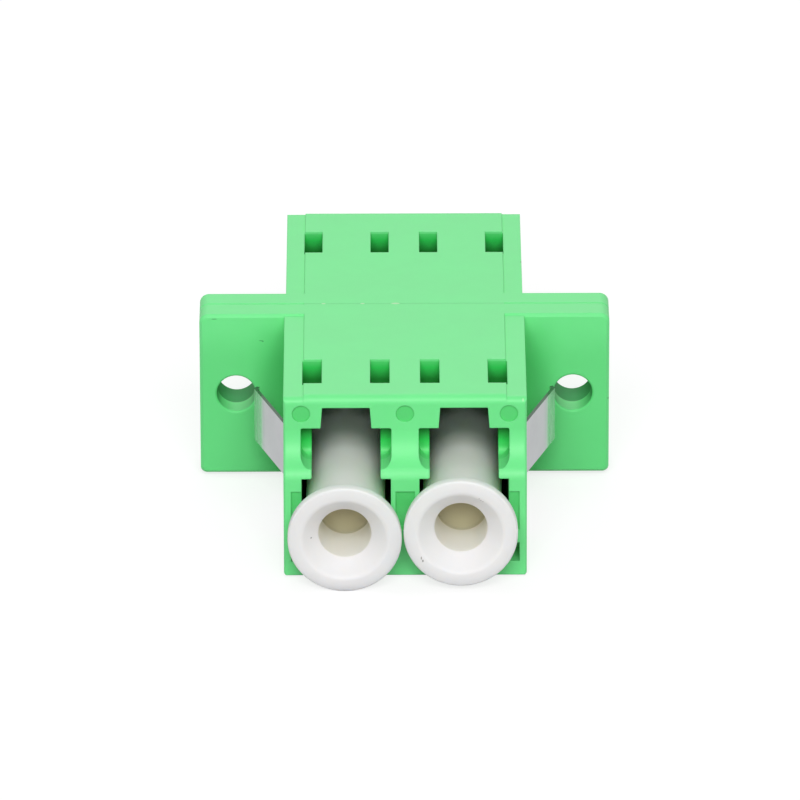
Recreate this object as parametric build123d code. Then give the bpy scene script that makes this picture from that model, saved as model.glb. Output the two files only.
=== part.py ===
from build123d import *
from dataclasses import dataclass
import math
import os

# Duplex fibre adapter with a two-hole flange, millimetres.
# X runs across the two ports, Y along the fibre axis (the photographed port face is at -Y), Z is up.
# The origin is midway between the two screw holes, on the seam where the two housing halves meet.

# Housing body
port_pitch = 6.25
body_height = 9.55
front_width = 12.88
front_length = 12.0
front_top_rounding = 0.35
rear_width = 12.76
rear_length = 12.25
rear_top_rounding = 0.2
side_edge_chamfer = 0.1
bottom_corner_fillet = 0.15
deck_half_width = 5.38
deck_rise = 0.1

# Ogee step from the upper port face forward to the nose
ogee_start_drop = 1.94
ogee_angle = 61.0
ogee_hollow_radius = 1.9
ogee_crown_radius = 0.82
nose_slant = 0.45

# Flange
screw_pitch = 18.15
flange_ear_margin = 1.95
flange_top = 4.65
flange_bottom_rise = 0.18
flange_half_thickness = 1.47
flange_top_corner = 0.5
flange_bottom_corner = 0.35
flange_face_chamfer = 0.15
seam_chamfer = 0.08
screw_hole_diameter = 2.1
screw_hole_break = 0.08

# Port opening, drops measured from the deck
slot_drop = 0.65
slot_top_width = 2.52
slot_foot_width = 2.7
shoulder_drop = 1.835
channel_width = 3.65
pocket_width = 4.8
pocket_depth = 1.0
pocket_top_corner = 0.1
pocket_foot_corner = 0.5
pocket_back_rounding = 0.4
lug_height = 0.45
hole_size = 4.74
floor_thickness = 0.66
web_thickness = 1.6
lug_corner = 0.1

# Catch windows in the roof and the chamber below them
window_offset = 1.8
front_window_width = 1.03
front_window_setback = 1.76
front_window_length = 3.02
rear_window_width = 0.98
rear_window_setback = 2.72
rear_window_length = 2.75
roof_slot_length = 6.2

# Small relief on the port face
ejector_mark_diameter = 0.96
ejector_mark_drop = 1.0
ejector_mark_spacing = 5.5
ejector_mark_depth = 0.1
panel_drop = 4.87
panel_height = 2.13
panel_depth = 0.08
side_panel_width = 0.55
middle_panel_margin = 0.25
groove_depth = 1.8
groove_reach = 0.56
groove_height = 1.05
groove_floor_rise = 0.1

# Barrels and alignment sleeves
barrel_outer_diameter = 2.9
barrel_length = 4.7
barrel_bore_diameter = 1.74
barrel_lip_diameter = 1.4
barrel_lip_length = 0.5
barrel_tip_chamfer = 0.15
sleeve_outer_diameter = 1.6
sleeve_wall = 0.175
sleeve_slit = 0.3
sleeve_end_play = 0.1

# Panel clip
clip_thickness = 0.18
clip_recess = 0.2
clip_end_gap = 0.03
clip_seat_gap = 0.01
clip_front_setback = 3.15
clip_band_length = 5.6
clip_rail_height = 0.5
clip_bend_radius = 0.45
wing_height = 3.0
wing_root_length = 0.5
wing_angle = 19.8
wing_length = 4.84
wing_lip_length = 0.3
wing_lip_angle = 25.0
wing_slot = 0.3

# Dust plugs
plug_rim_diameter = 6.04
plug_rim_edge = 0.1
plug_rim_thickness = 0.68
plug_shaft_diameter = 4.2
plug_flare = 0.25
plug_flare_length = 0.5
plug_front_gap = 2.33
plug_tail_clearance = 0.4
plug_dish_diameter = 4.54
plug_dish_depth = 0.9
plug_bore_diameter = 2.8
plug_bore_depth = 2.85
plug_socket_clearance = 0.16
plug_socket_end_gap = 0.4
plug_tail_chamfer = 0.2

# How the two front plugs sit in degrees: rim raised by the pitch, rim moved towards +X by the yaw
left_plug_pitch = -0.6
left_plug_yaw = -0.52
right_plug_pitch = 1.5
right_plug_yaw = -1.18

# Worked out from the sizes above
flange_width = screw_pitch + 2 * flange_ear_margin
body_top = flange_top
body_bottom = body_top - body_height
flange_bottom = body_bottom + flange_bottom_rise
strip_top = body_top - deck_rise
sin_ogee = math.sin(math.radians(ogee_angle))
cos_ogee = math.cos(math.radians(ogee_angle))
hollow_reach = ogee_hollow_radius * (1 - cos_ogee)
hollow_drop = ogee_hollow_radius * sin_ogee
crown_reach = ogee_crown_radius * (1 - cos_ogee)
crown_drop = ogee_crown_radius * sin_ogee
shoulder_reach = hollow_reach + crown_reach
nose_top_drop = ogee_start_drop + hollow_drop + crown_drop
nose_reach = shoulder_reach + nose_slant
hole_floor_z = body_bottom + floor_thickness
port_axis_z = hole_floor_z + hole_size / 2
hole_top_z = hole_floor_z + hole_size
pocket_foot_z = hole_top_z + lug_height
shoulder_z = body_top - shoulder_drop
wing_centre_z = body_bottom + body_height / 2
wing_window_top = wing_centre_z + wing_height / 2 + wing_slot
clip_top = wing_window_top + clip_rail_height
clip_outer_x = front_width / 2 - clip_recess + clip_seat_gap + clip_thickness
cut_margin = 1.0


@dataclass
class Half:
    """The sizes in which the two moulded halves of the housing differ."""

    length: float
    width: float
    top_rounding: float
    window_width: float
    window_setback: float
    window_length: float

    @property
    def nose_y(self):
        return -self.length - nose_reach

    @property
    def cut_start(self):
        return self.nose_y - cut_margin


front = Half(
    front_length, front_width, front_top_rounding,
    front_window_width, front_window_setback, front_window_length,
)
rear = Half(
    rear_length, rear_width, rear_top_rounding,
    rear_window_width, rear_window_setback, rear_window_length,
)


def block(x_min, x_max, y_min, y_max, z_min, z_max):
    """A box between two corners."""
    size = (x_max - x_min, y_max - y_min, z_max - z_min)
    centre = ((x_max + x_min) / 2, (y_max + y_min) / 2, (z_max + z_min) / 2)
    return Pos(*centre) * Box(*size)


def along_y(sketch_edges, start_y, length):
    """A prism of an outline drawn in X and Z, from start_y towards +Y."""
    face = make_face(sketch_edges)
    plane = Plane(origin=(0, start_y, 0), x_dir=(1, 0, 0), z_dir=(0, -1, 0))
    return extrude(plane * face, amount=-length)


def side_outline(half):
    """Body seen from the side: local x is Y and local y is Z."""
    face_y = -half.length
    hollow_end = (face_y - hollow_reach, body_top - ogee_start_drop - hollow_drop)
    crown_end = (face_y - shoulder_reach, body_top - nose_top_drop)
    half_angle = math.radians(ogee_angle / 2)
    hollow_mid = (
        face_y - ogee_hollow_radius * (1 - math.cos(half_angle)),
        body_top - ogee_start_drop - ogee_hollow_radius * math.sin(half_angle),
    )
    crown_mid = (
        crown_end[0] + ogee_crown_radius * (1 - math.cos(half_angle)),
        crown_end[1] + ogee_crown_radius * math.sin(half_angle),
    )
    ogee_start = (face_y, body_top - ogee_start_drop)
    return [
        Line((0, body_bottom), (0, strip_top)),
        Line((0, strip_top), (face_y, strip_top)),
        Line((face_y, strip_top), ogee_start),
        ThreePointArc(ogee_start, hollow_mid, hollow_end),
        ThreePointArc(hollow_end, crown_mid, crown_end),
        Line(crown_end, (half.nose_y, body_bottom)),
        Line((half.nose_y, body_bottom), (0, body_bottom)),
    ]


def body_block(half):
    """The plain outside of one half of the body, with its rounded edges and raised deck."""
    face = make_face(side_outline(half))
    plane = Plane(origin=(-half.width / 2, 0, 0), x_dir=(0, 1, 0), z_dir=(1, 0, 0))
    body = extrude(plane * face, amount=half.width)
    side_edges = body.edges().filter_by(Axis.Y, reverse=True).filter_by(
        lambda edge: abs(edge.center().X) > half.width / 2 - 0.01 and edge.center().Y < -half.length + 0.01
        and edge.center().Z > body_bottom + 0.01
    )
    body = chamfer(side_edges, side_edge_chamfer)
    front_top = body.edges().filter_by(Axis.X).filter_by(
        lambda edge: edge.center().Y < -half.length + 0.01 and edge.center().Z > strip_top - 0.01
    )
    body = fillet(front_top, half.top_rounding)
    bottom_corners = body.edges().filter_by(Axis.Y).filter_by(
        lambda edge: edge.center().Z < body_bottom + 0.01 and abs(edge.center().X) > half.width / 2 - 0.01
    )
    body = fillet(bottom_corners, bottom_corner_fillet)
    deck = block(-deck_half_width, deck_half_width, -half.length, 0, body_top - slot_drop, body_top)
    deck_front = deck.edges().filter_by(Axis.X).filter_by(
        lambda edge: edge.center().Y < -half.length + 0.01 and edge.center().Z > body_top - 0.01
    )
    return body + fillet(deck_front, half.top_rounding + deck_rise)


def flange_half():
    """One half of the flange, with rounded corners and its front and seam edges broken."""
    plate = block(-flange_width / 2, flange_width / 2, -flange_half_thickness, 0, flange_bottom, flange_top)
    corners = plate.edges().filter_by(Axis.Y)
    plate = fillet(corners.filter_by(lambda edge: edge.center().Z > flange_top - 0.01), flange_top_corner)
    corners = plate.edges().filter_by(Axis.Y)
    lower = corners.filter_by(lambda edge: edge.center().Z < flange_bottom + 0.01)
    plate = fillet(lower, flange_bottom_corner)
    face_edges = plate.faces().sort_by(Axis.Y)[0].edges()
    plate = chamfer(face_edges, flange_face_chamfer)
    seam_edges = plate.faces().sort_by(Axis.Y)[-1].edges()
    return chamfer(seam_edges, seam_chamfer)


def screw_hole(side):
    """Cutter for one screw hole with a broken edge on the flange face."""
    radius = screw_hole_diameter / 2
    depth = flange_half_thickness
    centre = Pos(side * screw_pitch / 2, -depth / 2, 0) * Rot(90, 0, 0)
    hole = centre * Cylinder(radius, depth + 2 * cut_margin)
    break_height = screw_hole_break
    mouth = Pos(side * screw_pitch / 2, -depth + break_height / 2, 0) * Rot(90, 0, 0)
    return hole + mouth * Cone(radius, radius + break_height, break_height)


def port_outline(centre_x):
    """Latch slot and centre channel, seen from the port side in X and Z."""
    slot_top = body_top - slot_drop
    half_top = slot_top_width / 2
    half_foot = slot_foot_width / 2
    half_channel = channel_width / 2
    points = [
        (centre_x - half_top, slot_top),
        (centre_x + half_top, slot_top),
        (centre_x + half_foot, shoulder_z),
        (centre_x + half_channel, shoulder_z),
        (centre_x + half_channel, hole_top_z),
        (centre_x - half_channel, hole_top_z),
        (centre_x - half_channel, shoulder_z),
        (centre_x - half_foot, shoulder_z),
    ]
    return Polyline(*points, close=True)


def corner_filler(x_min, x_max, y, z, radius):
    """The fillet that an inside corner keeps, along X, between a floor at z and a wall at y behind it."""
    square = block(x_min, x_max, y - radius, y, z, z + radius)
    roller = Pos((x_min + x_max) / 2, y - radius, z + radius) * Rot(0, 90, 0)
    return square - roller * Cylinder(radius, x_max - x_min + cut_margin)


def main_hole(half, centre_x):
    """The square hole that takes the body of a connector, up to the web at the middle of the adapter."""
    reach = hole_size / 2
    return block(centre_x - reach, centre_x + reach, half.cut_start, -web_thickness, hole_floor_z, hole_top_z)


def pocket_pair(half, centre_x):
    """The two shallow pockets beside the channel that guide the latch ears."""
    reach = pocket_width / 2
    back_y = -half.length + pocket_depth
    height = shoulder_z - pocket_foot_z
    pockets = block(centre_x - reach, centre_x + reach, half.cut_start, back_y, pocket_foot_z, shoulder_z)
    lower = pockets.edges().filter_by(Axis.Y).filter_by(lambda edge: edge.center().Z < pocket_foot_z + 0.01)
    pockets = fillet(lower, min(pocket_foot_corner, height / 2))
    upper = pockets.edges().filter_by(Axis.Y).filter_by(lambda edge: edge.center().Z > shoulder_z - 0.01)
    pockets = fillet(upper, min(pocket_top_corner, height / 4))
    back_rounding = min(pocket_back_rounding, height / 2)
    return pockets - corner_filler(centre_x - reach, centre_x + reach, back_y, pocket_foot_z, back_rounding)


def latch_chamber(half, centre_x):
    """The space behind the front wall where the latch ears spring up, open to the roof windows."""
    front_y = -half.length + half.window_setback
    back_y = front_y + half.window_length
    reach = pocket_width / 2
    chamber = block(centre_x - reach, centre_x + reach, front_y, back_y, pocket_foot_z, body_top - slot_drop)
    for side in (-1, 1):
        x = centre_x + side * window_offset
        chamber += block(
            x - half.window_width / 2, x + half.window_width / 2, front_y, back_y,
            shoulder_z, body_top + cut_margin,
        )
    return chamber


def port_cutter(half, centre_x):
    """Everything that is cut away for one port."""
    outline = port_outline(centre_x)
    channel = along_y(outline, half.cut_start, -web_thickness - half.cut_start)
    roof_fill = block(
        centre_x - pocket_width / 2, centre_x + pocket_width / 2, -half.length + roof_slot_length, 0,
        shoulder_z, body_top,
    )
    channel -= roof_fill
    return channel + main_hole(half, centre_x) + pocket_pair(half, centre_x) + latch_chamber(half, centre_x)


def lug_rounding(half, centre_x):
    """Cutter that rounds the lower inner edges of the two lugs above the square hole."""
    rounding = None
    for side in (-1, 1):
        corner_x = centre_x + side * channel_width / 2
        square = block(
            min(corner_x, corner_x + side * lug_corner), max(corner_x, corner_x + side * lug_corner),
            half.cut_start, -web_thickness, hole_top_z, hole_top_z + lug_corner,
        )
        middle_y = (half.cut_start - web_thickness) / 2
        roller = Pos(corner_x + side * lug_corner, middle_y, hole_top_z + lug_corner) * Rot(90, 0, 0)
        piece = square - roller * Cylinder(lug_corner, -web_thickness - half.cut_start + cut_margin)
        rounding = piece if rounding is None else rounding + piece
    return rounding


def side_groove(half, centre_x, side):
    """The blind groove beside the foot of a port, towards the outer wall."""
    inner = centre_x + side * (hole_size / 2 - cut_margin / 2)
    outer = centre_x + side * (hole_size / 2 + groove_reach)
    return block(
        min(inner, outer), max(inner, outer), half.cut_start, half.nose_y + groove_depth,
        hole_floor_z + groove_floor_rise, hole_floor_z + groove_floor_rise + groove_height,
    )


def face_relief(half):
    """Shallow ejector marks on the upper face and recessed panels on the nose."""
    marks = []
    for x in (-ejector_mark_spacing, 0, ejector_mark_spacing):
        disc = Pos(x, -half.length, body_top - ejector_mark_drop) * Rot(90, 0, 0)
        marks.append(disc * Cylinder(ejector_mark_diameter / 2, 2 * ejector_mark_depth))
    slope = nose_slant / (body_height - nose_top_drop)
    top_y = -half.length - shoulder_reach - slope * (panel_drop - nose_top_drop)
    tilt = math.degrees(math.atan(slope))
    post_inner = port_pitch / 2 + hole_size / 2
    middle_half = (port_pitch - hole_size) / 2 - middle_panel_margin
    spans = [
        (-post_inner - side_panel_width, -post_inner + cut_margin / 2),
        (-middle_half, middle_half),
        (post_inner - cut_margin / 2, post_inner + side_panel_width),
    ]
    for x_min, x_max in spans:
        panel = block(x_min, x_max, -cut_margin, panel_depth, -panel_height, 0)
        marks.append(Pos(0, top_y, body_top - panel_drop) * Rot(tilt, 0, 0) * panel)
    return marks


def barrel(centre_x):
    """The tube that holds half of an alignment sleeve, with its bore."""
    tip_y = -web_thickness - barrel_length
    turned = Pos(centre_x, (tip_y - web_thickness) / 2, port_axis_z) * Rot(90, 0, 0)
    tube = turned * Cylinder(barrel_outer_diameter / 2, barrel_length)
    tip = tube.faces().sort_by(Axis.Y)[0].edges()
    return chamfer(tip, barrel_tip_chamfer)


def barrel_bore(centre_x):
    """Bore of a barrel: wide for the sleeve, narrow at the lip that keeps it in."""
    tip_y = -web_thickness - barrel_length
    pocket_y = tip_y + barrel_lip_length
    wide = Cylinder(barrel_bore_diameter / 2, -pocket_y)
    narrow = Cylinder(barrel_lip_diameter / 2, barrel_lip_length + 2 * cut_margin)
    wide = Pos(centre_x, pocket_y / 2, port_axis_z) * Rot(90, 0, 0) * wide
    return wide + Pos(centre_x, tip_y, port_axis_z) * Rot(90, 0, 0) * narrow


def clip_recess_cutter():
    """The shallow channel round the sides and the bottom of the body that the clip sits in."""
    y_min = -front.length + clip_front_setback - clip_end_gap
    y_max = y_min + clip_band_length + 2 * clip_end_gap
    top = clip_top + clip_end_gap
    side_x = front.width / 2
    outside = block(-side_x - cut_margin, side_x + cut_margin, y_min, y_max, body_bottom - cut_margin, top)
    inside = block(
        -side_x + clip_recess, side_x - clip_recess, y_min - cut_margin, y_max + cut_margin,
        body_bottom + clip_recess, top + cut_margin,
    )
    lower = inside.edges().filter_by(Axis.Y).filter_by(
        lambda edge: edge.center().Z < body_bottom + clip_recess + 0.01
    )
    inside = fillet(lower, clip_bend_radius)
    return outside - inside


def housing_half(half):
    """One moulded half of the housing, its port facing -Y and its seam at Y = 0."""
    shell = body_block(half) + flange_half()
    for side in (-1, 1):
        shell -= screw_hole(side)
        shell -= side_groove(half, side * port_pitch / 2, side)
    for centre_x in (-port_pitch / 2, port_pitch / 2):
        shell -= port_cutter(half, centre_x)
        shell -= lug_rounding(half, centre_x)
        shell += barrel(centre_x)
        shell -= barrel_bore(centre_x)
    for mark in face_relief(half):
        shell -= mark
    return shell


def alignment_sleeve(centre_x):
    """The split ceramic tube in which two ferrules meet."""
    inner_length = 2 * (web_thickness + barrel_length - barrel_lip_length)
    length = inner_length - 2 * sleeve_end_play
    radius = sleeve_outer_diameter / 2
    tube = Cylinder(radius, length) - Cylinder(radius - sleeve_wall, length + cut_margin)
    tube -= Pos(radius, 0, 0) * Box(2 * radius, sleeve_slit, length + cut_margin)
    return Pos(centre_x, 0, port_axis_z) * Rot(90, 0, 0) * Rot(0, 0, -90) * tube


def clip_band():
    """The U of the clip: a strip under the body with its two upright sides."""
    y_min = -front.length + clip_front_setback
    y_max = y_min + clip_band_length
    inner_half = clip_outer_x - clip_thickness
    inner_bottom = body_bottom + clip_recess - clip_seat_gap
    outer_bottom = inner_bottom - clip_thickness
    outside = block(-clip_outer_x, clip_outer_x, y_min, y_max, outer_bottom, clip_top)
    lower = outside.edges().filter_by(Axis.Y).filter_by(lambda edge: edge.center().Z < outer_bottom + 0.01)
    outside = fillet(lower, clip_bend_radius + clip_thickness)
    inside = block(
        -inner_half, inner_half, y_min - cut_margin, y_max + cut_margin, inner_bottom, clip_top + cut_margin
    )
    lower = inside.edges().filter_by(Axis.Y).filter_by(lambda edge: edge.center().Z < inner_bottom + 0.01)
    inside = fillet(lower, clip_bend_radius)
    return outside - inside


def wing_window(side):
    """The opening left in a side of the clip where the wing is folded out of it."""
    y_min = -front.length + clip_front_setback + wing_root_length
    y_max = -front.length + clip_front_setback + clip_band_length + cut_margin
    x_near = clip_outer_x - 2 * clip_thickness
    x_far = clip_outer_x + cut_margin
    return block(
        min(side * x_near, side * x_far), max(side * x_near, side * x_far), y_min, y_max,
        2 * wing_centre_z - wing_window_top, wing_window_top,
    )


def inner_side(point, angle_before, angle_after):
    """Point on the inner face of the strip at a bend; angles run from +Y towards +X in degrees."""
    mean = math.radians((angle_before + angle_after) / 2)
    reach = clip_thickness / math.cos(math.radians(angle_after - angle_before) / 2)
    return (point[0] - reach * math.cos(mean), point[1] + reach * math.sin(mean))


def wing(side):
    """One spring wing, leaning out towards the flange and ending in a turned lip."""
    root_y = -front.length + clip_front_setback + wing_root_length
    lean = math.radians(wing_angle)
    turn = math.radians(wing_lip_angle)
    start = (clip_outer_x, root_y - wing_root_length / 2)
    root = (clip_outer_x, root_y)
    tip = (clip_outer_x + wing_length * math.sin(lean), root_y + wing_length * math.cos(lean))
    lip = (tip[0] - wing_lip_length * math.sin(turn), tip[1] + wing_lip_length * math.cos(turn))
    outline = Polyline(
        start, root, tip, lip,
        inner_side(lip, -wing_lip_angle, -wing_lip_angle),
        inner_side(tip, wing_angle, -wing_lip_angle),
        inner_side(root, 0, wing_angle),
        inner_side(start, 0, 0),
        close=True,
    )
    plane = Plane(origin=(0, 0, wing_centre_z - wing_height / 2), x_dir=(1, 0, 0), z_dir=(0, 0, 1))
    leaf = extrude(plane * make_face(outline), amount=wing_height)
    return leaf if side > 0 else mirror(leaf, about=Plane.YZ)


def panel_clip():
    """The folded spring strip that holds the adapter in a panel."""
    clip = clip_band()
    for side in (-1, 1):
        clip -= wing_window(side)
        clip += wing(side)
    return clip


def plug_profile(length, core_end):
    """Half section of a dust plug: local x is the radius, local y the distance behind the rim's face."""
    rim = plug_rim_diameter / 2
    shaft = plug_shaft_diameter / 2
    dish = plug_dish_diameter / 2
    bore = plug_bore_diameter / 2
    socket = barrel_outer_diameter / 2 + plug_socket_clearance
    bore_floor = plug_dish_depth + plug_bore_depth
    points = [
        (0, bore_floor),
        (bore, bore_floor),
        (bore, plug_dish_depth),
        (dish, 0),
        (rim - plug_rim_edge, 0),
        (rim, plug_rim_edge),
        (rim, plug_rim_thickness - plug_rim_edge),
        (rim - plug_rim_edge, plug_rim_thickness),
        (shaft + plug_flare, plug_rim_thickness),
        (shaft, plug_rim_thickness + plug_flare_length),
        (shaft, length - plug_tail_chamfer),
        (shaft - plug_tail_chamfer, length),
        (socket, length),
        (socket, core_end),
        (0, core_end),
    ]
    return make_face(Polyline(*points, close=True))


def dust_plug(half, centre_x, pitch, yaw):
    """A soft dust plug for a port of this half, tilted about the tip of the barrel it is pushed over."""
    tail_y = -web_thickness - plug_tail_clearance
    tip_y = -web_thickness - barrel_length
    rim_y = -half.length - shoulder_reach - plug_front_gap
    core_end = tip_y - plug_socket_end_gap - rim_y
    turned = Pos(0, rim_y, 0) * revolve(plug_profile(tail_y - rim_y, core_end), Axis.Y)
    centred = Pos(0, -tip_y, 0) * turned
    return Pos(centre_x, tip_y, port_axis_z) * Rot(-pitch, 0, 0) * Rot(0, 0, yaw) * centred


def main():
    os.makedirs("parts", exist_ok=True)
    half_pitch = port_pitch / 2
    turn = Rot(0, 0, 180)
    parts = {
        "front_housing": housing_half(front) - clip_recess_cutter(),
        "rear_housing": turn * housing_half(rear),
        "left_alignment_sleeve": alignment_sleeve(-half_pitch),
        "right_alignment_sleeve": alignment_sleeve(half_pitch),
        "panel_clip": panel_clip(),
        "front_left_dust_plug": dust_plug(front, -half_pitch, left_plug_pitch, left_plug_yaw),
        "front_right_dust_plug": dust_plug(front, half_pitch, right_plug_pitch, right_plug_yaw),
        "rear_left_dust_plug": turn * dust_plug(rear, half_pitch, 0, 0),
        "rear_right_dust_plug": turn * dust_plug(rear, -half_pitch, 0, 0),
    }
    for name, part in parts.items():
        part.label = name
        export_step(part, os.path.join("parts", name + ".step"))


main()
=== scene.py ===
import math

import bpy
from mathutils import Matrix, Vector

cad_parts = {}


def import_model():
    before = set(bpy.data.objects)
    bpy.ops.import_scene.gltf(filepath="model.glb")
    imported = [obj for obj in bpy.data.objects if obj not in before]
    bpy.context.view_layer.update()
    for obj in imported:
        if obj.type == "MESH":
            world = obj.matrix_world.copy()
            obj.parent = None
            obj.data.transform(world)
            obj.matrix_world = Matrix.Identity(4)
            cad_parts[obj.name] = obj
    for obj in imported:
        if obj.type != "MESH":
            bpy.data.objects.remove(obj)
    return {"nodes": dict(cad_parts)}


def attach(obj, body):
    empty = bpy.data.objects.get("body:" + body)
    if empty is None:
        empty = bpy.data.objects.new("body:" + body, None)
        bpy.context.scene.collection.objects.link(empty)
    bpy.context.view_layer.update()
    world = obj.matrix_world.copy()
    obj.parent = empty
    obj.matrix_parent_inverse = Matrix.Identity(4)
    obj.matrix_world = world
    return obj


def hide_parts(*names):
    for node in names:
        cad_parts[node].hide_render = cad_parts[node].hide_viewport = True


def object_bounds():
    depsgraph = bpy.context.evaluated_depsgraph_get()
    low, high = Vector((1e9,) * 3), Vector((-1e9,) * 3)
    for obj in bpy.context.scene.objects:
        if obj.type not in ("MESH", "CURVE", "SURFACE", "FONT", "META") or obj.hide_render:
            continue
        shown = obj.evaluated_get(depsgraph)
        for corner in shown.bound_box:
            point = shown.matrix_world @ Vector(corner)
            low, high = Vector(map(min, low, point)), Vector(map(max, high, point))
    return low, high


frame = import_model()
cad_low, cad_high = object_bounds()

MM = 0.001
WHITE = (1, 1, 1, 1)

# Camera: a long lens from the front, about 25 degrees above the fibre axis
CAMERA_PLACE = (-1.055 * MM, -523.229 * MM, 240.653 * MM)
CAMERA_ELEVATION = math.radians(24.797)
CAMERA_YAW = math.radians(-0.089)
CAMERA_ROLL = math.radians(-0.142)
CAMERA_LENS = 479.6
CAMERA_NEAR = 0.02
CAMERA_FAR = 20.0
SENSOR_WIDTH = 36.0

# Lighting: how bright a white card facing each lamp, or under the sky, would render
FRONT_LEVEL = 0.74
REAR_LEVEL = 0.22
SKY_LEVEL = 0.36

# Softboxes: elevation and azimuth in degrees, distance in metres, width and height in metres, level
SOFTBOXES = {
    "front_softbox": (38, 0, 0.8, (0.5, 0.35), FRONT_LEVEL),
    "rear_softbox": (42, 180, 0.8, (0.6, 0.4), REAR_LEVEL),
}

# Floor: its grey in the lighting, and the glow and the shadow-taking grey that the camera sees
FLOOR_BOUNCE = 0.5
FLOOR_GLOW = 0.76
FLOOR_SHADE = 0.3
FLOOR_HALF_SIZE = 0.6

# Sockets of the Mix node that carry colours
MIX_FACTOR, MIX_FIRST, MIX_SECOND, MIX_RESULT = 0, 6, 7, 2

# Results at the two ends of a span: rising or falling
UP = (0.0, 1.0)
DOWN = (1.0, 0.0)

# Spans of a mask: all of it, and its lower and upper halves
WHOLE_MASK = (0.0, 1.0)
LOWER_HALF = (0.0, 0.5)
UPPER_HALF = (0.5, 1.0)

# How far the edge of a small mark is spread, in half sizes of the mark
MARK_EDGE = (0.6, 1.2)

# Spans that cover most of what a noise gives
NOISE_SPAN = (0.3, 0.7)
NOISE_CORE = (0.35, 0.65)

# Ejector marks on the upper port faces and panels on the noses, millimetres in the frame
DECK_Z = 4.65
FACE_Y = 12.0
EJECTOR_DROP = 1.0
EJECTOR_SPACING = 5.5
EJECTOR_RADIUS = 0.48
EJECTOR_MARGIN = 0.05
EJECTOR_SOFT = 0.03
EJECTOR_SUNK = (FACE_Y - 0.06, FACE_Y - 0.03)
PANEL_HEIGHT = (-2.35, -0.22)
PANEL_FRONT = (13.2, 13.3)
MIDDLE_PANEL = (-0.505, 0.505)
SIDE_PANEL = (5.495, 6.045)
PANEL_SOFT = 0.02

# Front faces of the ears: spans over which painted shade deepens their green, lower down and beside the
# body, millimetres in the frame
EAR_SIDE = (6.44, 6.5)
EAR_FRONT = (-1.5, -1.36)
EAR_HEIGHT = (4.3, 1.6)
EAR_HEIGHT_TONE = (0.0, 0.42)
EAR_BESIDE_BODY = (6.5, 8.6)
EAR_BESIDE_TONE = (0.6, 0.0)
EAR_TOP_EDGE = (4.5, 3.2)

# Roof windows, guide pockets and latch chambers, where shade is painted, millimetres in the frame
CAVITY_SIDE = (5.6, 5.7)
CAVITY_TOP = (4.5, 4.54)
WINDOW_END = (10.4, 10.5)
WINDOW_DEPTH = (4.6, 3.5)
WINDOW_TONE = (0.2, 0.95)
POCKET_LENGTH = (10.9, 11.84)
POCKET_SOFT = 0.03
POCKET_HEIGHT = (0.6, 2.4)
POCKET_TONE = (0.0, 0.85)
ROOF_UNDERSIDE = (2.84, 2.9)
CHAMBER_END = (10.85, 10.95)
CHAMBER_TONE = (0.5, 0.0)

# Screw holes, where shade is painted, millimetres in the frame
SCREW_X = 9.075
HOLE_WALL = (1.06, 1.09)
HOLE_ENDS = (1.36, 1.4)
HOLE_BEHIND_SEAM = (-0.32, -0.26)
HOLE_BEHIND_TONE = (0.0, 0.75)
HOLE_UPPER_WALL = (-0.95, -0.1)
HOLE_UPPER_TONE = (0.0, 0.7)

# Seam between the two halves, millimetres in the frame
SEAM = (-0.05, 0.05)
SEAM_SOFT = 0.03
SEAM_TOP = (4.3, 4.5)

# Small marks on the housing: centre and half sizes, millimetres in the frame. The light ones are flash
# specks on the seam and one painted highlight.
DARK_MARKS = [
    ((-10.22, -1.47, 4.42), (0.16, 0.3, 0.026)),
    ((-7.71, -1.47, 3.14), (0.12, 0.1, 0.026)),
    ((-7.62, -1.47, 3.10), (0.06, 0.1, 0.04)),
    ((11.0, -1.47, -0.36), (0.08, 0.3, 0.05)),
    ((5.36, -12.15, 4.65), (0.05, 0.07, 0.1)),
    ((6.40, 5.65, 4.60), (0.09, 0.2, 0.1)),
]
FLASH_AND_HIGHLIGHT_MARKS = [
    ((-0.48, 0.0, 4.65), (0.24, 0.1, 0.1)),
    ((-2.25, 0.0, 4.65), (0.12, 0.07, 0.1)),
    ((-4.35, 0.0, 4.65), (0.12, 0.07, 0.1)),
    # A painted highlight on the right front top edge of the body
    ((6.24, -11.9, 4.4), (0.035, 0.1, 0.12)),
]

# Housing plastic. Noises are scale, detail and roughness, and bumps are strength and distance.
HOUSING_MOTTLE = (0.26, 4.0, 0.55)
HOUSING_GRAIN = (5.2, 2.0, 0.6)
HOUSING_BUMP = (0.05, 0.02)
HOUSING_EDGE_RADIUS = 0.07
BEVEL_SAMPLES = 6
HOUSING_ROUGHNESS = (0.42, 0.5)
CAVITY_ROUGHNESS = 0.9
HOUSING_GREEN = (0.16, 0.79, 0.265, 1)
HOUSING_GREEN_PALE = (0.176, 0.825, 0.285, 1)
RECESS_GREEN = (0.07, 0.6, 0.14, 1)
RECESS_STRENGTH = 0.7
# Painted shade on the ears' front faces
EAR_SHADE_GREEN = (0.06, 0.5, 0.125, 1)
# Painted shade in the roof windows, guide pockets and latch chambers
CAVITY_SHADE_GREEN = (0.03, 0.62, 0.1, 1)
DEEP_CAVITY_SHADE_GREEN = (0.002, 0.2, 0.015, 1)
# Painted shade in the screw holes
HOLE_SHADE_GREEN = (0.01, 0.25, 0.06, 1)
SEAM_GREEN = (0.06, 0.5, 0.12, 1)
SEAM_STRENGTH = 0.15
DARK_MARK_GREEN = (0.025, 0.2, 0.05, 1)
DARK_MARK_STRENGTH = 0.6
# Pale flash specks on the seam, and a painted highlight
FLASH_AND_HIGHLIGHT_GREEN = (0.55, 0.86, 0.5, 1)
FLASH_AND_HIGHLIGHT_STRENGTH = 0.8
HOUSING_BODY = {
    "IOR": 1.42,
    "Subsurface Weight": 0.12,
    "Subsurface Radius": (0.2, 0.6, 0.25),
    "Subsurface Scale": 0.4 * MM,
}

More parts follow.
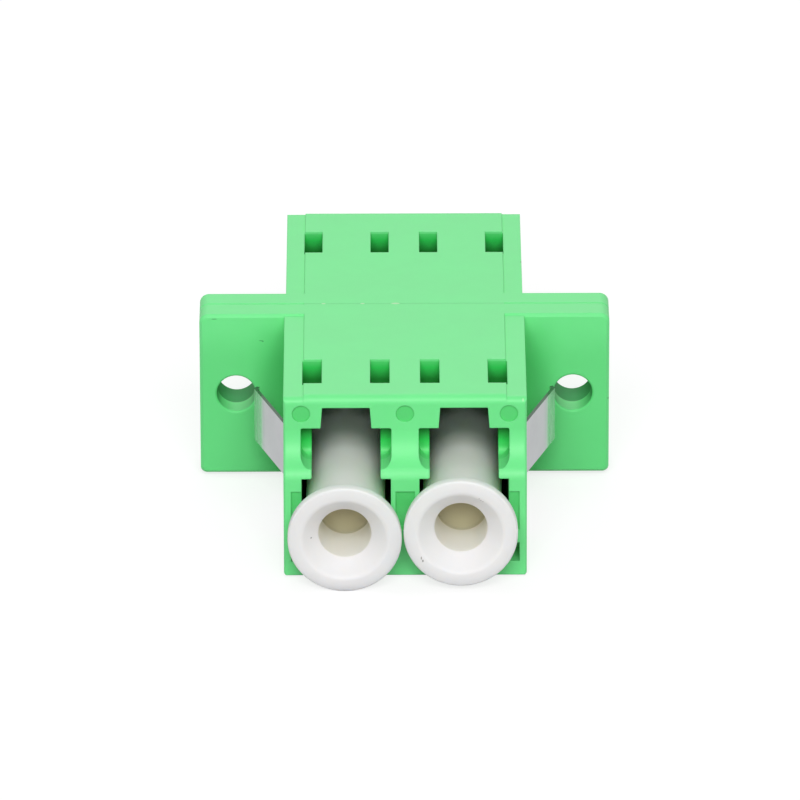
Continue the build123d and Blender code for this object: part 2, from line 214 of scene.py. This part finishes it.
# Clip steel: the green on the wings' ends and the dark upward edges stand for what they mirror
STEEL_LINES = (2.4, 3.0, 0.6)
STEEL_LINES_STRETCH = (0.2, 6.0, 0.2)
STEEL_STAIN = (0.6, 3.0, 0.5)
STEEL_BUMP = (0.08, 0.01)
STEEL_GREY = (0.68, 0.66, 0.705, 1)
STEEL_GREY_PALE = (0.74, 0.72, 0.765, 1)
STEEL_GREEN = (0.16, 0.55, 0.26, 1)
STEEL_GREEN_SPAN = (7.42, 7.8)
STEEL_GREEN_TONE = (0.0, 0.4)
STEEL_DARK = (0.05, 0.09, 0.06, 1)
STEEL_UPWARD_SPAN = (0.6, 0.8)
STEEL_DARK_TONE = (0.0, 0.85)
STEEL_RUBBED_SPAN = (7.55, 7.7)
STEEL_ROUGHNESS = (0.5, 0.62)
STEEL_RUBBED_GAIN = 0.3
STEEL_METALLIC = (0.3, 0.8)

# Sleeve ceramic
CERAMIC_GRIND = (3.0, 2.0, 0.5)
CERAMIC_GRIND_STRETCH = (1.0, 8.0, 1.0)
CERAMIC_BUMP = (0.04, 0.01)
CERAMIC_WHITE = (0.80, 0.79, 0.74, 1)
CERAMIC_WHITE_PALE = (0.84, 0.83, 0.79, 1)
CERAMIC_ROUGHNESS = (0.16, 0.24)
CERAMIC_IOR = 1.9

# Dust plugs, millimetres: pushed over the barrel tips, the front two a little askew
PORT_PITCH = 6.25
PORT_AXIS_Z = -1.87
BARREL_TIP_Y = -6.3
FRONT_RIM_ARM = 9.428
REAR_RIM_ARM = 9.681
TAIL_ARM = 4.3
CORE_GAP = 0.4
RIM_RADIUS = 3.017
RIM_THICKNESS = 0.68
RIM_ROUND = 0.1
DISH_RADIUS = 2.27
DISH_DEPTH = 0.9
DISH_ROUND = 0.3
BORE_RADIUS = 1.4
BORE_DEPTH = 2.85
BORE_MOUTH_ROUND = 0.08
BORE_FLOOR_ROUND = 0.15
SHAFT_RADIUS = 2.1
NECK_RADIUS = 2.35
NECK_LENGTH = 0.5
NECK_ROUND = 0.6
TAIL_ROUND = 0.18
SOCKET_RADIUS = 1.61
SOCKET_MOUTH_ROUND = 0.08
SOCKET_FLOOR_ROUND = 0.1
ARC_STEPS = 7
ARC_SUPPORT = 0.03
PLUG_SEGMENTS = 160
PLUG_SHARP_ANGLE = math.radians(30)

# Each plug: side of the adapter, length from barrel tip to rim face, pitch and yaw in degrees
PLUGS = {
    "front_left_dust_plug": (-1, FRONT_RIM_ARM, -0.6, -0.52),
    "front_right_dust_plug": (1, FRONT_RIM_ARM, 1.5, -1.25),
    "rear_left_dust_plug": (-1, REAR_RIM_ARM, 0.0, 0.0),
    "rear_right_dust_plug": (1, REAR_RIM_ARM, 0.0, 0.0),
}

# Small marks on the plugs: centre and half sizes, millimetres in the plug's own frame
PLUG_MARKS = {
    "front_left_dust_plug": [((-1.77, 0.5, -0.1), (0.05, 0.2, 0.05))],
    "front_right_dust_plug": [
        ((-2.08, 0.0, -1.40), (0.035, 0.1, 0.1)),
        ((-2.00, 0.0, -1.56), (0.05, 0.1, 0.08)),
        ((0.97, 0.05, 2.02), (0.04, 0.1, 0.03)),
        ((1.06, 0.1, 1.93), (0.05, 0.1, 0.03)),
        ((1.17, 0.1, 1.84), (0.03, 0.1, 0.04)),
    ],
}

# Plug plastic: white, with warm light painted on the wall of the bore, painted shade deeper in, and
# darker painted shade on its floor
PLUG_MOTTLE = (0.42, 4.0, 0.6)
PLUG_RUB = (2.6, 3.0, 0.6)
PLUG_RUB_STRETCH = (1.0, 0.35, 1.0)
PLUG_BUMP = (0.05, 0.02)
PLUG_ROUGHNESS = (0.42, 0.54)
PLUG_WHITE = (0.88, 0.84, 0.84, 1)
PLUG_WHITE_PALE = (0.905, 0.87, 0.87, 1)
BORE_WALL_SPAN = (1.39, 1.42)
BORE_START = (0.8, 0.9)
BORE_LENGTH = (0.9, 3.5)
BORE_END = (3.62, 3.7)
# Painted warm light on the bore's wall, painted shade deeper in and on its floor
BORE_WARM_LIGHT = (0.97, 0.93, 0.83, 1)
BORE_DEEP_SHADE = (0.93, 0.89, 0.74, 1)
BORE_FLOOR_SHADE = (0.5, 0.47, 0.305, 1)
WORN_BROWN = (0.2, 0.17, 0.16, 1)
WORN_STRENGTH = 0.7
PLUG_BODY = {
    "IOR": 1.4,
    "Subsurface Weight": 0.8,
    "Subsurface Radius": (1.0, 0.9, 0.8),
    "Subsurface Scale": 1.3 * MM,
}


class Graph:
    """A short way to write the nodes of a material or a world. Places and sizes are in millimetres."""

    def __init__(self, owner):
        self.owner = owner
        owner.use_nodes = True
        self.tree = owner.node_tree
        self.tree.nodes.clear()

    def add(self, kind, inputs=None, **settings):
        node = self.tree.nodes.new(kind)
        for key, value in settings.items():
            setattr(node, key, value)
        for key, value in (inputs or {}).items():
            socket = node.inputs[key]
            if isinstance(value, bpy.types.NodeSocket):
                self.tree.links.new(value, socket)
            else:
                socket.default_value = value
        return node

    def math(self, operation, first, second=0.0, clamp=False):
        inputs = {0: first, 1: second}
        return self.add("ShaderNodeMath", inputs, operation=operation, use_clamp=clamp).outputs[0]

    def vectors(self, operation, first, second=(0.0, 0.0, 0.0)):
        inputs = {0: first, 1: second}
        return self.add("ShaderNodeVectorMath", inputs, operation=operation).outputs

    def length(self, first, second):
        """The length of the vector that has those two parts."""
        squares = [self.math("MULTIPLY", part, part) for part in (first, second)]
        return self.math("SQRT", self.math("ADD", *squares))

    def place(self):
        """The place on the object in millimetres."""
        inputs = {0: self.add("ShaderNodeTexCoord").outputs["Object"], "Scale": 1 / MM}
        return self.add("ShaderNodeVectorMath", inputs, operation="SCALE").outputs["Vector"]

    def axes(self, vector):
        node = self.add("ShaderNodeSeparateXYZ", {0: vector})
        return node.outputs[0], node.outputs[1], node.outputs[2]

    def stretched(self, vector, scale):
        return self.vectors("MULTIPLY", vector, scale)["Vector"]

    def noise(self, vector, scale, detail, roughness):
        inputs = {"Vector": vector, "Scale": scale, "Detail": detail, "Roughness": roughness}
        return self.add("ShaderNodeTexNoise", inputs).outputs["Fac"]

    def spread(self, value, span, results, smooth=False):
        """Takes the value from a span to the results at its two ends, and holds them beyond it."""
        inputs = {
            "Value": value,
            "From Min": span[0], "From Max": span[1],
            "To Min": results[0], "To Max": results[1],
        }
        kind = "SMOOTHSTEP" if smooth else "LINEAR"
        return self.add("ShaderNodeMapRange", inputs, interpolation_type=kind).outputs["Result"]

    def blend(self, factor, first, second):
        inputs = {MIX_FACTOR: factor, MIX_FIRST: first, MIX_SECOND: second}
        return self.add("ShaderNodeMix", inputs, data_type="RGBA").outputs[MIX_RESULT]

    def between(self, value, span, soft):
        """1 where the value lies inside the span, 0 outside, with soft ends."""
        low, high = span
        above = self.spread(value, (low - soft, low + soft), UP, smooth=True)
        below = self.spread(value, (high - soft, high + soft), DOWN, smooth=True)
        return self.math("MULTIPLY", above, below)

    def round_spot(self, place, centre, radius, soft):
        """1 inside a ball around the centre, 0 outside, with a soft edge."""
        reach = self.vectors("DISTANCE", place, centre)["Value"]
        return self.spread(reach, (radius - soft, radius + soft), DOWN, smooth=True)

    def mark(self, place, centre, half_sizes):
        """1 in a small egg-shaped spot with those half sizes, with a soft edge."""
        from_centre = self.vectors("SUBTRACT", place, centre)["Vector"]
        shrunk = self.vectors("DIVIDE", from_centre, half_sizes)["Vector"]
        reach = self.vectors("LENGTH", shrunk)["Value"]
        return self.spread(reach, MARK_EDGE, DOWN, smooth=True)

    def marks(self, place, spots):
        return self.any_of(*[self.mark(place, *spot) for spot in spots])

    def all_of(self, *masks):
        result = masks[0]
        for mask in masks[1:]:
            result = self.math("MULTIPLY", result, mask)
        return result

    def any_of(self, *masks):
        result = masks[0]
        for mask in masks[1:]:
            result = self.math("MAXIMUM", result, mask)
        return result

    def bump(self, height, strength, distance, normal=None):
        inputs = {"Height": height, "Strength": strength, "Distance": distance * MM}
        if normal is not None:
            inputs["Normal"] = normal
        return self.add("ShaderNodeBump", inputs).outputs["Normal"]

    def soft_edges(self, radius):
        """Normals that round the crisp edges of the moulding a little."""
        node = self.add("ShaderNodeBevel", {"Radius": radius * MM}, samples=BEVEL_SAMPLES)
        return node.outputs["Normal"]

    def surface(self, colour, roughness, normal, body):
        """Ends a material with one shader: its colour, roughness and normal, and its other settings."""
        inputs = {"Base Color": colour, "Roughness": roughness, "Normal": normal, **body}
        shader = self.add("ShaderNodeBsdfPrincipled", inputs)
        self.add("ShaderNodeOutputMaterial", {"Surface": shader.outputs[0]})
        return self.owner

    def seen_as(self, lighting, shown):
        """Shows one shader to the camera and in reflections, and lights the part with the other."""
        path = self.add("ShaderNodeLightPath")
        rays = ("Is Camera Ray", "Is Glossy Ray", "Is Transmission Ray")
        seen = self.any_of(*[path.outputs[ray] for ray in rays])
        inputs = {0: seen, 1: lighting.outputs[0], 2: shown.outputs[0]}
        return self.add("ShaderNodeMixShader", inputs).outputs[0]


def recess_mask(g, place):
    """The ejector marks on the upper port faces and the recessed panels on the noses."""
    x, y, z = g.axes(place)
    side_x = g.math("ABSOLUTE", x)
    end_y = g.math("ABSOLUTE", y)
    folded = g.add("ShaderNodeCombineXYZ", {0: side_x, 1: end_y, 2: z}).outputs[0]
    discs = []
    for across in (0.0, EJECTOR_SPACING):
        centre = (across, FACE_Y, DECK_Z - EJECTOR_DROP)
        discs.append(g.round_spot(folded, centre, EJECTOR_RADIUS + EJECTOR_MARGIN, EJECTOR_SOFT))
    sunk_discs = g.all_of(g.any_of(*discs), g.spread(end_y, EJECTOR_SUNK, DOWN))
    upright = g.between(z, PANEL_HEIGHT, PANEL_SOFT)
    columns = g.any_of(
        g.between(side_x, MIDDLE_PANEL, PANEL_SOFT),
        g.between(side_x, SIDE_PANEL, PANEL_SOFT),
    )
    panels = g.all_of(upright, columns, g.spread(end_y, PANEL_FRONT, UP))
    return g.any_of(sunk_discs, panels)


def ear_shade(g, x, y, z):
    """How much painted shade deepens the green of the ears' front faces: lower down, and beside the
    body.
    """
    side_x = g.math("ABSOLUTE", x)
    ears = g.all_of(g.spread(side_x, EAR_SIDE, UP), g.spread(y, EAR_FRONT, DOWN))
    lower = g.spread(z, EAR_HEIGHT, EAR_HEIGHT_TONE, smooth=True)
    beside = g.spread(side_x, EAR_BESIDE_BODY, EAR_BESIDE_TONE, smooth=True)
    under_edge = g.spread(z, EAR_TOP_EDGE, UP, smooth=True)
    deeper = g.math("ADD", lower, g.all_of(beside, under_edge))
    return g.math("MULTIPLY", ears, deeper, clamp=True)


def cavity_shade(g, x, y, z):
    """How dark the painted shade makes the green inside the roof windows, the latch chambers and the
    guide pockets.
    """
    side_x = g.math("ABSOLUTE", x)
    end_y = g.math("ABSOLUTE", y)
    inside = g.all_of(g.spread(side_x, CAVITY_SIDE, DOWN), g.spread(z, CAVITY_TOP, DOWN))
    below_roof = g.spread(z, ROOF_UNDERSIDE, DOWN)
    windows = g.all_of(g.spread(end_y, WINDOW_END, DOWN), g.spread(z, WINDOW_DEPTH, WINDOW_TONE))
    pockets = g.all_of(
        g.between(end_y, POCKET_LENGTH, POCKET_SOFT),
        g.spread(z, POCKET_HEIGHT, POCKET_TONE),
        below_roof,
    )
    chambers = g.all_of(g.spread(end_y, CHAMBER_END, CHAMBER_TONE), below_roof)
    return g.all_of(inside, g.any_of(windows, pockets, chambers))


def hole_shade(g, x, y, z):
    """How dark the painted shade makes the green inside the screw holes: behind the seam, and on the
    upper wall.
    """
    from_axis = g.math("SUBTRACT", g.math("ABSOLUTE", x), SCREW_X)
    in_hole = g.spread(g.length(from_axis, z), HOLE_WALL, DOWN)
    in_flange = g.spread(g.math("ABSOLUTE", y), HOLE_ENDS, DOWN)
    behind = g.spread(y, HOLE_BEHIND_SEAM, HOLE_BEHIND_TONE)
    upper = g.spread(z, HOLE_UPPER_WALL, HOLE_UPPER_TONE, smooth=True)
    return g.all_of(in_hole, in_flange, g.any_of(behind, upper))


def housing_plastic():
    """Mint green moulded plastic: satin, faintly mottled, with a fine grain, a few small marks and one
    painted highlight, and painted shade on the ears and in the cavities and screw holes.
    """
    g = Graph(bpy.data.materials.new("housing_green"))
    place = g.place()
    x, y, z = g.axes(place)
    mottle = g.noise(place, *HOUSING_MOTTLE)
    grain = g.noise(place, *HOUSING_GRAIN)
    cavity = cavity_shade(g, x, y, z)
    hole = hole_shade(g, x, y, z)
    seam = g.all_of(g.between(y, SEAM, SEAM_SOFT), g.spread(z, SEAM_TOP, UP))
    layers = [
        (g.math("MULTIPLY", recess_mask(g, place), RECESS_STRENGTH), RECESS_GREEN),
        # Painted shade on the ears' front faces
        (ear_shade(g, x, y, z), EAR_SHADE_GREEN),
        # Painted shade in the windows, pockets and chambers
        (g.spread(cavity, LOWER_HALF, UP), CAVITY_SHADE_GREEN),
        (g.spread(cavity, UPPER_HALF, UP), DEEP_CAVITY_SHADE_GREEN),
        # Painted shade in the screw holes
        (hole, HOLE_SHADE_GREEN),
        (g.math("MULTIPLY", seam, SEAM_STRENGTH), SEAM_GREEN),
        (g.math("MULTIPLY", g.marks(place, DARK_MARKS), DARK_MARK_STRENGTH), DARK_MARK_GREEN),
        # Pale flash specks on the seam, and one painted highlight
        (g.math("MULTIPLY", g.marks(place, FLASH_AND_HIGHLIGHT_MARKS), FLASH_AND_HIGHLIGHT_STRENGTH), FLASH_AND_HIGHLIGHT_GREEN),
    ]
    colour = g.blend(g.spread(mottle, NOISE_CORE, UP), HOUSING_GREEN, HOUSING_GREEN_PALE)
    for factor, tone in layers:
        colour = g.blend(factor, colour, tone)
    satin = g.spread(mottle, NOISE_SPAN, HOUSING_ROUGHNESS)
    roughness = g.any_of(satin, g.math("MULTIPLY", g.any_of(cavity, hole), CAVITY_ROUGHNESS))
    normal = g.bump(grain, *HOUSING_BUMP, g.soft_edges(HOUSING_EDGE_RADIUS))
    return g.surface(colour, roughness, normal, HOUSING_BODY)


def plug_plastic(name, seat, marks):
    """Soft white plastic, faintly rubbed, with painted warm light and painted shade in the bore of the
    rim.
    """
    g = Graph(bpy.data.materials.new(name))
    own_frame = {
        "Vector": g.place(),
        "Location": seat.to_translation() / MM,
        "Rotation": seat.to_euler(),
    }
    place = g.add("ShaderNodeMapping", own_frame, vector_type="TEXTURE").outputs[0]
    x, y, z = g.axes(place)
    mottle = g.noise(place, *PLUG_MOTTLE)
    rub = g.noise(g.stretched(place, PLUG_RUB_STRETCH), *PLUG_RUB)
    colour = g.blend(g.spread(mottle, NOISE_SPAN, UP), PLUG_WHITE, PLUG_WHITE_PALE)
    bore = g.all_of(
        g.spread(g.length(x, z), BORE_WALL_SPAN, DOWN),
        g.spread(y, BORE_START, UP),
    )
    # Painted warm light on the bore's wall, and painted shade deeper in and on its floor
    wall = g.blend(g.spread(y, BORE_LENGTH, UP), BORE_WARM_LIGHT, BORE_DEEP_SHADE)
    inside = g.blend(g.spread(y, BORE_END, UP), wall, BORE_FLOOR_SHADE)
    colour = g.blend(bore, colour, inside)
    if marks:
        worn = g.math("MULTIPLY", g.marks(place, marks), WORN_STRENGTH)
        colour = g.blend(worn, colour, WORN_BROWN)
    roughness = g.spread(rub, NOISE_SPAN, PLUG_ROUGHNESS)
    return g.surface(colour, roughness, g.bump(rub, *PLUG_BUMP), PLUG_BODY)


def clip_steel():
    """Dull rolled spring steel, rubbed bright at the ends of the wings."""
    g = Graph(bpy.data.materials.new("clip_rolled_steel"))
    place = g.place()
    side_x = g.math("ABSOLUTE", g.axes(place)[0])
    facing_up = g.axes(g.add("ShaderNodeNewGeometry").outputs["Normal"])[2]
    lines = g.noise(g.stretched(place, STEEL_LINES_STRETCH), *STEEL_LINES)
    stain = g.noise(place, *STEEL_STAIN)
    green = g.spread(side_x, STEEL_GREEN_SPAN, STEEL_GREEN_TONE, smooth=True)
    colour = g.blend(g.spread(stain, NOISE_SPAN, UP), STEEL_GREY, STEEL_GREY_PALE)
    colour = g.blend(green, colour, STEEL_GREEN)
    colour = g.blend(g.spread(facing_up, STEEL_UPWARD_SPAN, STEEL_DARK_TONE), colour, STEEL_DARK)
    rubbed = g.spread(side_x, STEEL_RUBBED_SPAN, UP, smooth=True)
    dull = g.spread(lines, NOISE_SPAN, STEEL_ROUGHNESS)
    roughness = g.math("SUBTRACT", dull, g.math("MULTIPLY", rubbed, STEEL_RUBBED_GAIN))
    metallic = g.spread(rubbed, WHOLE_MASK, STEEL_METALLIC)
    return g.surface(colour, roughness, g.bump(lines, *STEEL_BUMP), {"Metallic": metallic})


def sleeve_ceramic():
    """Ground and polished white ceramic."""
    g = Graph(bpy.data.materials.new("sleeve_white_ceramic"))
    grind = g.noise(g.stretched(g.place(), CERAMIC_GRIND_STRETCH), *CERAMIC_GRIND)
    colour = g.blend(g.spread(grind, NOISE_SPAN, UP), CERAMIC_WHITE, CERAMIC_WHITE_PALE)
    roughness = g.spread(grind, NOISE_SPAN, CERAMIC_ROUGHNESS)
    return g.surface(colour, roughness, g.bump(grind, *CERAMIC_BUMP), {"IOR": CERAMIC_IOR})


def dress(material, *names):
    for name in names:
        mesh = frame["nodes"][name].data
        mesh.materials.clear()
        mesh.materials.append(material)


def stand(name, data):
    """Puts a mesh, a lamp or a camera into the scene as an object of that name."""
    thing = bpy.data.objects.new(name, data)
    bpy.context.collection.objects.link(thing)
    return thing


def rounded(corners):
    """A polyline through (x, y, radius) corners, each corner turned into an arc of its radius."""
    points = [Vector(corners[0][:2])]
    for before, corner, after in zip(corners, corners[1:], corners[2:]):
        here = Vector(corner[:2])
        radius = corner[2]
        back = (Vector(before[:2]) - here).normalized()
        ahead = (Vector(after[:2]) - here).normalized()
        half = back.angle(ahead) / 2
        reach = radius / math.tan(half)
        centre = here + (back + ahead).normalized() * (radius / math.sin(half))
        points.append(here + back * (reach + ARC_SUPPORT))
        start = (here + back * reach - centre).normalized()
        end = (here + ahead * reach - centre).normalized()
        for step in range(ARC_STEPS + 1):
            points.append(centre + radius * start.slerp(end, step / ARC_STEPS).normalized())
        points.append(here + ahead * (reach + ARC_SUPPORT))
    points.append(Vector(corners[-1][:2]))
    return points


def plug_outline(arm):
    """Half section of a dust plug: radius, and depth along its axis from the face of its rim."""
    bore_floor = DISH_DEPTH + BORE_DEPTH
    tail = arm + TAIL_ARM
    core_end = arm - CORE_GAP
    return rounded([
        (0.0, bore_floor, 0.0),
        (BORE_RADIUS, bore_floor, BORE_FLOOR_ROUND),
        (BORE_RADIUS, DISH_DEPTH, BORE_MOUTH_ROUND),
        (DISH_RADIUS, 0.0, DISH_ROUND),
        (RIM_RADIUS, 0.0, RIM_ROUND),
        (RIM_RADIUS, RIM_THICKNESS, RIM_ROUND),
        (NECK_RADIUS, RIM_THICKNESS, RIM_ROUND),
        (SHAFT_RADIUS, RIM_THICKNESS + NECK_LENGTH, NECK_ROUND),
        (SHAFT_RADIUS, tail, TAIL_ROUND),
        (SOCKET_RADIUS, tail, SOCKET_MOUTH_ROUND),
        (SOCKET_RADIUS, core_end, SOCKET_FLOOR_ROUND),
        (0.0, core_end, 0.0),
    ])


def plug_seat(name, side, arm, pitch, yaw):
    """Where a plug sits: its own frame has the centre of the rim's face at 0 and +Y into the port."""
    facing = 1 if name.startswith("front") else -1
    turn = Matrix.Identity(4) if facing == 1 else Matrix.Rotation(math.pi, 4, "Z")
    port = Vector((facing * side * PORT_PITCH / 2, BARREL_TIP_Y, PORT_AXIS_Z))
    nod = Matrix.Rotation(math.radians(-pitch), 4, "X")
    swing = Matrix.Rotation(math.radians(yaw), 4, "Z")
    to_rim = Matrix.Translation((0.0, -arm * MM, 0.0))
    return turn @ Matrix.Translation(port * MM) @ nod @ swing @ to_rim


def dust_plug(name, seat, arm):
    """A smooth turned plug in the place of the plain solid."""
    outline = plug_outline(arm)
    ends = (outline[0], outline[-1])
    points = [seat @ (Vector((0.0, end.y, 0.0)) * MM) for end in ends]
    rings = []
    for radius, depth in outline[1:-1]:
        ring = []
        for step in range(PLUG_SEGMENTS):
            angle = 2 * math.pi * step / PLUG_SEGMENTS
            spot = Vector((radius * math.cos(angle), depth, radius * math.sin(angle)))
            ring.append(len(points))
            points.append(seat @ (spot * MM))
        rings.append(ring)
    faces = []
    for step in range(PLUG_SEGMENTS):
        after = (step + 1) % PLUG_SEGMENTS
        faces.append((0, rings[0][after], rings[0][step]))
        faces.append((1, rings[-1][step], rings[-1][after]))
        for inner, outer in zip(rings, rings[1:]):
            faces.append((inner[step], inner[after], outer[after], outer[step]))
    mesh = bpy.data.meshes.new(name + "_turned")
    mesh.from_pydata(points, [], faces)
    mesh.shade_smooth()
    mesh.set_sharp_from_angle(angle=PLUG_SHARP_ANGLE)
    plug = stand(name + "_turned", mesh)
    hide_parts(name)
    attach(plug, name.replace("_dust", ""))
    return plug


def floor():
    """The white table under the part. It keeps the part's soft shadow."""
    half, low = FLOOR_HALF_SIZE, cad_low[2]
    corners = [(-half, -half, low), (half, -half, low), (half, half, low), (-half, half, low)]
    mesh = bpy.data.meshes.new("studio_floor")
    mesh.from_pydata(corners, [], [(0, 1, 2, 3)])
    table = stand("studio_floor", mesh)
    g = Graph(bpy.data.materials.new("studio_floor_white"))
    bounce = (FLOOR_BOUNCE, FLOOR_BOUNCE, FLOOR_BOUNCE, 1)
    shade = (FLOOR_SHADE, FLOOR_SHADE, FLOOR_SHADE, 1)
    lighting = g.add("ShaderNodeBsdfDiffuse", {"Color": bounce})
    glow = g.add("ShaderNodeEmission", {"Color": WHITE, "Strength": FLOOR_GLOW})
    shadowed = g.add("ShaderNodeBsdfDiffuse", {"Color": shade})
    shown = g.add("ShaderNodeAddShader", {0: glow.outputs[0], 1: shadowed.outputs[0]})
    g.add("ShaderNodeOutputMaterial", {"Surface": g.seen_as(lighting, shown)})
    mesh.materials.append(g.owner)


def world():
    """An even sky in the lighting, and plain white where it is seen."""
    g = Graph(bpy.data.worlds.new("studio_white"))
    bpy.context.scene.world = g.owner
    lighting = g.add("ShaderNodeBackground", {"Color": WHITE, "Strength": SKY_LEVEL})
    shown = g.add("ShaderNodeBackground", {"Color": WHITE, "Strength": 1.0})
    g.add("ShaderNodeOutputWorld", {"Surface": g.seen_as(lighting, shown)})


def softbox(name, elevation, azimuth, distance, size, level):
    """A soft lamp aimed at the part; azimuth 0 is in front and positive angles are to the right."""
    data = bpy.data.lights.new(name, "AREA")
    data.shape = "RECTANGLE"
    data.size, data.size_y = size
    data.energy = level * (math.pi * distance) ** 2
    lamp = stand(name, data)
    flat = distance * math.cos(math.radians(elevation))
    lamp.location = (
        flat * math.sin(math.radians(azimuth)),
        -flat * math.cos(math.radians(azimuth)),
        distance * math.sin(math.radians(elevation)),
    )
    lamp.rotation_euler = (-lamp.location).to_track_quat("-Z", "Y").to_euler()


def camera():
    """The camera of the photograph, from its place, its two angles and its roll."""
    sin_e, cos_e = math.sin(CAMERA_ELEVATION), math.cos(CAMERA_ELEVATION)
    back = Vector((math.sin(CAMERA_YAW) * cos_e, -math.cos(CAMERA_YAW) * cos_e, sin_e))
    level = Vector((math.cos(CAMERA_YAW), math.sin(CAMERA_YAW), 0))
    upright = back.cross(level)
    right = math.cos(CAMERA_ROLL) * level + math.sin(CAMERA_ROLL) * upright
    up = math.cos(CAMERA_ROLL) * upright - math.sin(CAMERA_ROLL) * level
    data = bpy.data.cameras.new("camera")
    data.lens = CAMERA_LENS
    data.sensor_width = SENSOR_WIDTH
    data.clip_start = CAMERA_NEAR
    data.clip_end = CAMERA_FAR
    eye = stand("camera", data)
    turn = Matrix((right, up, back)).transposed().to_4x4()
    eye.matrix_world = Matrix.Translation(Vector(CAMERA_PLACE)) @ turn
    bpy.context.scene.camera = eye


dress(housing_plastic(), "front_housing", "rear_housing")
dress(clip_steel(), "panel_clip")
dress(sleeve_ceramic(), "left_alignment_sleeve", "right_alignment_sleeve")
for plug_name, settings in PLUGS.items():
    plug_place = plug_seat(plug_name, *settings)
    white_plastic = plug_plastic(plug_name + "_white", plug_place, PLUG_MARKS.get(plug_name))
    dress(white_plastic, plug_name)
    dust_plug(plug_name, plug_place, settings[1]).data.materials.append(white_plastic)

world()
floor()
for box_name, box_settings in SOFTBOXES.items():
    softbox(box_name, *box_settings)
camera()

view = bpy.context.scene.view_settings
view.view_transform = "Standard"
